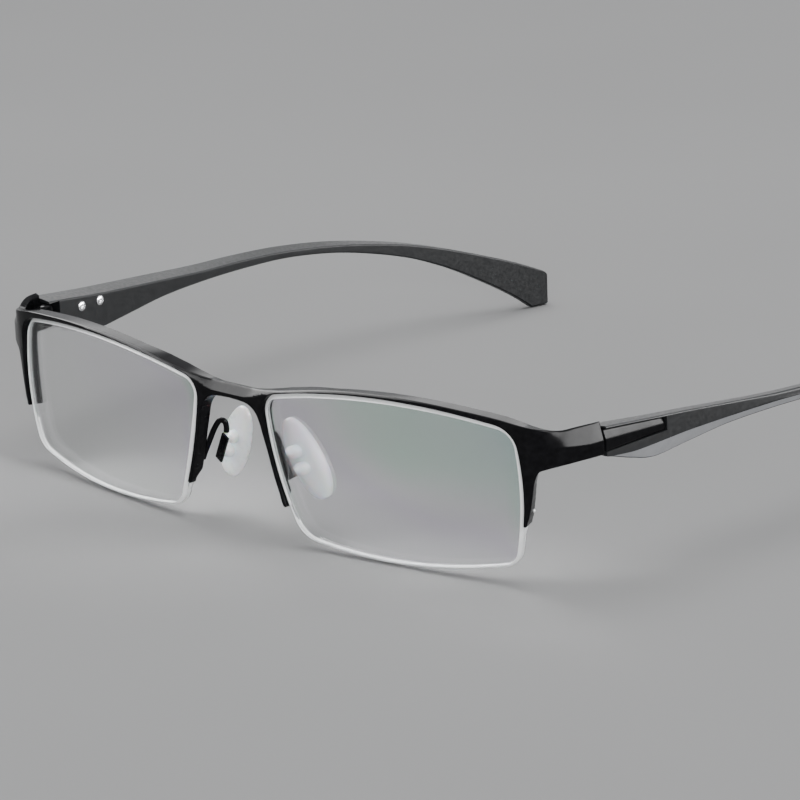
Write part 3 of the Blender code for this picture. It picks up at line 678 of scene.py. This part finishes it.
def add_bead(cord, look, side):
    """The cord's end, melted to a bead on the outer side of the rim leg."""
    edge = [lens_point(p.x, p.y) for p in lens_shape(-RIM_GAP)]
    rim = min((p for p in edge if p.x > LENS_X), key=lambda p: abs(p.z - BEAD_Z))
    width = along([Vector(pair) for pair in OUTER_LEG], BEAD_Z).y
    centre = front_point(plan_length(rim.x) + width, BEAD_Z, front_depth(50, BEAD_Z) * 0.82)
    bm = bmesh.new()
    bmesh.ops.create_uvsphere(bm, u_segments=20, v_segments=12, radius=0.34)
    for vertex in bm.verts:
        vertex.co += centre
    bead = mesh_object("bead", bm, look, side, 60, weighted=False)
    both = bmesh.new()
    both.from_mesh(cord.data)
    both.from_mesh(bead.data)
    both.to_mesh(cord.data)
    both.free()
    bpy.data.objects.remove(bead)


def pad_point(up, across, out):
    """A point of the pad from its centre: up its length, across its width and out from the nose."""
    wide = Vector((math.sin(PAD_FLARE), math.cos(PAD_FLARE), 0))
    wide = (wide - PAD_UP * wide.dot(PAD_UP)).normalized()
    return PAD_CENTRE + PAD_UP * up + wide * across + wide.cross(PAD_UP).normalized() * out


def mount_point(up, across, out):
    """A point of what holds the pad: as on the pad, but out along the way the plate stands from it."""
    return pad_point(up, across, 0) + MOUNT_WAY * out


def build_pad(name, side, soft, metal):
    """A D-shaped silicone pad with lugs pushed into a bar plate, and the looped arm that carries them."""
    bm = bmesh.new()
    rings = []
    for j in range(1, 20):
        slope = math.pi * j / 20
        ring = []
        for k in range(48):
            turn = math.tau * k / 48
            length, width = math.cos(turn), math.sin(turn)
            # Fuller below than above, and flatter on the side by the nose.
            full = 1 - 0.1 * length
            rim = abs(math.sin(slope)) ** 0.7
            up = length * PAD_HALF[0] * rim
            across = math.copysign(abs(width) ** 0.86, width) * PAD_HALF[1] * full * rim
            ring.append(pad_point(up, across, math.cos(slope) * PAD_HALF[2] * 0.92))
        rings.append(ring)
    loft(bm, rings)
    for height in PAD_LUGS:
        lug = [[mount_point(height + math.cos(a) * r, math.sin(a) * r, f) for a in
                [math.tau * k / 20 for k in range(20)]]
               for r, f in ((1.3, 0.6), (1.25, 2.3), (1.05, 2.9), (0.6, 3.2), (0.5, 4.7), (0.4, 4.76))]
        loft(bm, lug)
    pad = mesh_object(f"silicone_pad_{name}", bm, soft, side, 60, weighted=False)
    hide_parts(f"nose_pad_{name}")
    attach(pad, "front")

    bm = bmesh.new()
    boxed(bm, (-PLATE_HALF[0], -PLATE_HALF[1], -PLATE_HALF[2]), PLATE_HALF, 0.14)
    for vertex in bm.verts:
        up, across, out = vertex.co
        vertex.co = mount_point(up, across, out + PLATE_OUT)
    plate = mesh_object(f"bar_plate_{name}", bm, metal, side, 40)
    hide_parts(f"pad_plate_{name}")
    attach(plate, "front")

    arm = wire(f"looped_arm_{name}", resample(through(ARM_ROUTE, 10), 0.3), ARM_RADIUS, metal, side)
    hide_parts(f"pad_arm_{name}")
    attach(arm, "front")


TEMPLE_CURVE = through([Vector(row) for row in TEMPLE_ROWS[:-1]], 10) + [Vector(TEMPLE_ROWS[-1])]


def temple_section(y, outer, top, ridge, bottom):
    """One ring of the temple: a flat inner face, an upper and a lower outer facet, and rounded edges."""
    share = (y - TEMPLE_FRONT) / (TEMPLE_ROWS[-1][0] - TEMPLE_FRONT)
    inner = outer - mix(*TEMPLE_THICKNESS, share)
    sink = mix(0.45, 0.6, smooth_step(22, 36, y)) * (1 - smooth_step(90, 130, y))
    round_top = mix(0.35, 0.7, smooth_step(45, 90, y))
    under = min(0.9, (ridge - bottom) * 0.55)
    low_edge = 0.18
    points = [(inner + 0.3, bottom), (outer - under - low_edge, bottom), (outer - under, bottom + low_edge),
              (outer - 0.03, ridge - 0.06), (outer, ridge + 0.08)]
    points += [(mix(outer, outer - 0.12, t), mix(ridge, top - round_top, t)) for t in (0.33, 0.66)]
    centre = (outer - 0.12 - round_top, top - round_top)
    points += [(centre[0] + round_top * math.cos(a), centre[1] + round_top * math.sin(a))
               for a in [math.pi / 2 * k / 5 for k in range(6)]]
    centre = (inner + 0.45, top - 0.45 - sink)
    points += [(centre[0] + 0.45 * math.cos(a), centre[1] + 0.45 * math.sin(a))
               for a in [math.pi / 2 * (1 + k / 4) for k in range(5)]]
    points += [(inner, bottom + 0.3)]
    return [Vector((x, y, z)) for x, z in points]


def window_outline(gap):
    """The temple's window as y and z, made smaller by the gap."""
    front = TEMPLE_FRONT - (0.2 if gap else 1.0)
    return [(front, 23.4 + gap), (WINDOW_END - gap, 23.7 + gap), (WINDOW_END - gap, 26.25 - gap),
            (25.0, 27.05 - gap), (front, 27.75 - gap)]


def build_temple(name, side, plastic_look, facet_painted_reflection):
    """The moulded temple, with a painted reflection on its lower outer facet, its window and its hinge
    recess.
    """
    body = f"temple_{name}_body"
    rows = [TEMPLE_FRONT + i for i in range(128)] + [145.5, 146.5, 147.5, 148.5, 149.1, 149.5]
    bm = bmesh.new()
    rings = []
    for y in rows:
        row = along(TEMPLE_CURVE, y)
        ring = temple_section(*row)
        if y > 149:
            # The tip's last edge is rounded over.
            middle = sum(ring, Vector()) / len(ring)
            keep = 0.96 if y < 149.3 else 0.86
            ring = [Vector((mix(middle.x, p.x, keep), p.y, mix(middle.z, p.z, keep) if p.z > 0 else p.z))
                    for p in ring]
        rings.append(ring)
    loops = loft(bm, rings)
    bm.faces.ensure_lookup_table()
    count = len(loops[0])
    for face in bm.faces:
        if len(face.verts) == 4:
            middle = face.calc_center_median()
            row = along(TEMPLE_CURVE, middle.y)
            # The lower outer facet takes the lighter copy of the nylon: a painted reflection of the pale
            # floor.
            if middle.x > row[1] - 1.0 and row[4] + 0.2 < middle.z < row[3] - 0.02 and middle.y < 112:
                face.material_index = 1
    made = mesh_object(f"moulded_temple_{name}", bm, [plastic_look, facet_painted_reflection], side, 22)
    made.modifiers.clear()
    window = bmesh.new()
    loft(window, [[(x, y, z) for y, z in window_outline(0)] for x in (WINDOW_FLOOR, WINDOW_FLOOR + 5)])
    cut(made, window, side)
    recess = bmesh.new()
    boxed(recess, (AXIS_X - 6, AXIS_Y - 6, 15), (WINDOW_FLOOR + 0.15, AXIS_Y + 3.4, 27.15))
    cut(made, recess, side)
    made.data.set_sharp_from_angle(angle=math.radians(22))
    modifier = made.modifiers.new("Normals", "WEIGHTED_NORMAL")
    modifier.keep_sharp = True
    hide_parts(f"temple_{name}")
    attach(made, body)


def tongue_face(y, z):
    """Outer x of the metal tongue: it folds in above a line that falls towards the back."""
    line = mix(FOLD_Z, 24.8, (y - TEMPLE_FRONT) / (WINDOW_END - TEMPLE_FRONT))
    rise = z - line
    return TONGUE_OUTER - FOLD_SLOPE * (rise + math.sqrt(rise * rise + 0.01)) / 2


def build_temple_hinge(name, side, look):
    """The metal tongue that fills the temple's window, with the web and the middle knuckle behind it."""
    bm = bmesh.new()
    outline = window_outline(0.13)
    bottom = [Vector(outline[0]), Vector(outline[1])]
    top = [Vector(outline[4]), Vector(outline[3]), Vector(outline[2])]
    rings = []
    steps = 14
    for i in range(17):
        y = mix(outline[0][0] + 0.05, outline[1][0], i / 16)
        low, high = along(bottom, y).y, along(top, y).y
        heights = [mix(low, high, k / steps) for k in range(steps + 1)]
        face = [Vector((tongue_face(y, z) - (0.12 if k in (0, steps) else 0), y, z))
                for k, z in enumerate(heights)]
        rings.append(face + [Vector((WINDOW_FLOOR + 0.1, y, high)), Vector((WINDOW_FLOOR + 0.1, y, low))])
    loft(bm, rings)
    low, high = MID_KNUCKLE
    boxed(bm, (AXIS_X, AXIS_Y + 0.8, low + 0.3), (WINDOW_FLOOR + 0.8, AXIS_Y + 2.8, high - 0.1), 0.15)
    profile = ((BORE_RADIUS, low), (BARREL_RADIUS - 0.1, low), (BARREL_RADIUS, low + 0.1),
               (BARREL_RADIUS, high - 0.1), (BARREL_RADIUS - 0.1, high), (BORE_RADIUS, high))
    knuckle = [[Vector((AXIS_X + math.cos(a) * r, AXIS_Y + math.sin(a) * r, z)) for a in
                [math.tau * k / 40 for k in range(40)]] for r, z in profile]
    loft(bm, knuckle + [knuckle[0]], closed_ends=False)
    made = mesh_object(f"window_tongue_{name}", bm, look, side, 30, weighted=False)
    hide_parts(f"temple_hinge_{name}")
    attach(made, f"temple_{name}_body")


def screw_head(name, node, centre, facing, radius, height, look, body, side, shank):
    """A domed screw head with a six-lobed socket, on a shank of this radius and length."""
    bm = bmesh.new()
    facing = Vector(facing).normalized()
    across = facing.orthogonal().normalized()
    third = facing.cross(across)
    levels = [(shank[0] / radius, -shank[1], False), (shank[0] / radius, 0, False), (0.97, 0, False)]
    levels += [(share, height * math.sqrt(1 - (share * 0.93) ** 2), share < 0.7) for share in
               (1.0, 0.97, 0.9, 0.8, 0.7, 0.62, 0.55, 0.5, 0.46, 0.4, 0.25, 0.08)]
    rings = []
    for share, lift, socket in levels:
        ring = []
        for k in range(48):
            turn = math.tau * k / 48
            lobe = 0.52 + 0.07 * math.cos(6 * turn)
            sunk = height * 0.85 * (1 - smooth_step(lobe - 0.06, lobe + 0.03, share)) if socket else 0
            ring.append(Vector(centre) + (across * math.cos(turn) + third * math.sin(turn)) * radius * share
                        + facing * (lift - sunk))
        rings.append(ring)
    loft(bm, rings)
    made = mesh_object(name, bm, look, side, 40, weighted=False)
    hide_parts(node)
    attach(made, body)


def build_screws(name, side, silver, black):
    """The two silver screws inside the temple and the hinge screw's head."""
    for which, y in TEMPLE_SCREWS:
        row = along(TEMPLE_CURVE, y)
        share = (y - TEMPLE_FRONT) / (TEMPLE_ROWS[-1][0] - TEMPLE_FRONT)
        inner = row[1] - mix(*TEMPLE_THICKNESS, share)
        screw_head(f"domed_screw_{which}_{name}", f"temple_screw_{which}_{name}",
                   (inner - 0.02, y, TEMPLE_SCREW_Z), (-1, 0, 0), 0.95, 0.5,
                   silver, f"temple_{name}_body", side, (0.45, 0.5))
    screw_head(f"hinge_pin_{name}", f"hinge_screw_{name}", (AXIS_X, AXIS_Y, HINGE_SCREW_Z), (0, 0, 1),
               1.12, 0.33, black, "front", side, (0.6, 3.9))


# ---- camera, floor and light ----


def look_at(obj, target):
    """Turns an object to face a place."""
    obj.rotation_euler = (Vector(target) - obj.location).to_track_quat("-Z", "Y").to_euler()


def build_camera():
    """The photograph's view: azimuth, elevation and roll in degrees, and its place in millimetres."""
    azimuth, elevation, roll = (math.radians(a) for a in (43.46, 16.328, -1.873))
    level = math.cos(elevation)
    back = Vector((math.sin(azimuth) * level, -math.cos(azimuth) * level, math.sin(elevation)))
    right = Vector((math.cos(azimuth), math.sin(azimuth), 0))
    up = back.cross(right)
    turned = right * math.cos(roll) + up * math.sin(roll)
    upright = up * math.cos(roll) - right * math.sin(roll)
    data = bpy.data.cameras.new("camera")
    data.lens = 241.3
    data.sensor_width = 36
    data.clip_start = 0.01
    camera = bpy.data.objects.new("camera", data)
    bpy.context.scene.collection.objects.link(camera)
    turn = Matrix((turned, upright, back)).transposed().to_4x4()
    camera.matrix_world = Matrix.Translation(place((660.48, -654.49, 295.48))) @ turn
    bpy.context.scene.camera = camera


def panel(name, place_at, target, size, power, diffuse=True, shine=True):
    """A soft rectangular studio light, which may leave out matt or glossy reflection."""
    data = bpy.data.lights.new(name, "AREA")
    data.shape = "RECTANGLE"
    data.size, data.size_y = size
    data.energy = power
    made = bpy.data.objects.new(name, data)
    bpy.context.scene.collection.objects.link(made)
    made.location = place_at
    look_at(made, target)
    made.visible_diffuse = diffuse
    made.visible_glossy = shine


def build_studio():
    """A plain pale floor under soft light."""
    made, tree, shader = shader_of("pale_floor", Roughness=1.0, Specular_IOR_Level=0.0)
    tone = noise(tree, 6, 2)
    tone = ramp(tree, tone, [(0.3, (0.27, 0.27, 0.27)), (0.7, (0.285, 0.285, 0.285))])
    tree.links.new(tone, shader.inputs["Base Color"])
    bm = bmesh.new()
    bmesh.ops.create_grid(bm, x_segments=1, y_segments=1, size=6.0)
    mesh = bpy.data.meshes.new("floor")
    bm.to_mesh(mesh)
    bm.free()
    mesh.materials.append(made)
    floor = bpy.data.objects.new("floor", mesh)
    bpy.context.scene.collection.objects.link(floor)
    floor.location.z = -0.0002

    world = bpy.data.worlds.new("studio")
    bpy.context.scene.world = world
    world.use_nodes = True
    world.node_tree.nodes["Background"].inputs["Color"].default_value = (0.96, 0.97, 1.0, 1)
    world.node_tree.nodes["Background"].inputs["Strength"].default_value = 0.62
    panel("overhead", (-0.1, 0.1, 0.9), (0, 0, 0), (0.9, 0.9), 10)
    panel("front_fill", (0.93, -0.98, 0.36), (0, 0, 0.02), (0.8, 0.5), 12, shine=False)
    panel("right_side", (1.3, 0.22, 0.6), (0.07, -0.06, 0.03), (2.3, 0.55), 130, diffuse=False)
    panel("left_side", (-0.9, -0.27, 0.8), (0, 0, 0.02), (1.9, 0.8), 80, diffuse=False)
    panel("behind", (-1.0, 1.3, 0.55), (0, 0, 0.02), (1.6, 0.5), 5, diffuse=False)


def dress_carried_nodes(look):
    """The CAD hinge blocks keep their shape and take the finished metal."""
    for name, _ in SIDES:
        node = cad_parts[f"end_hinge_{name}"]
        for slot in node.material_slots:
            slot.material = look
        if not node.material_slots:
            node.data.materials.append(look)


BLACK = black_metal()
PLASTIC = plastic("dark_nylon_temple", (0.009, 0.0098, 0.0108), (0.014, 0.015, 0.0165), 0.36, 0.5)
# A lighter copy of the temple nylon for its lower outer facet: painted reflection of the pale floor.
FACET_PAINTED_REFLECTION = plastic("nylon_facet_painted_reflection", (0.33, 0.335, 0.35), (0.37, 0.375, 0.39), 0.4, 0.52)
build_front(BLACK)
GLASS, NYLON, SOFT, SILVER = lens_glass(), nylon(), silicone(), steel()
EDGE = ground_glass("ground_lens_edge", (0.9, 0.92, 0.92), (0.98, 0.99, 0.99))
# Painted shade: the groove's frosted glass is made dark for the shade inside the recess.
GROOVE_PAINTED_SHADE = ground_glass("ground_lens_groove_painted_shade", (0.2, 0.21, 0.21), (0.26, 0.27, 0.27))
for NAME, SIDE in SIDES:
    build_lens(NAME, SIDE, GLASS, EDGE, GROOVE_PAINTED_SHADE)
    build_edge_wires(NAME, SIDE, NYLON)
    build_pad(NAME, SIDE, SOFT, BLACK)
    build_temple(NAME, SIDE, PLASTIC, FACET_PAINTED_REFLECTION)
    build_temple_hinge(NAME, SIDE, BLACK)
    build_screws(NAME, SIDE, SILVER, BLACK)
dress_carried_nodes(BLACK)
build_camera()
build_studio()
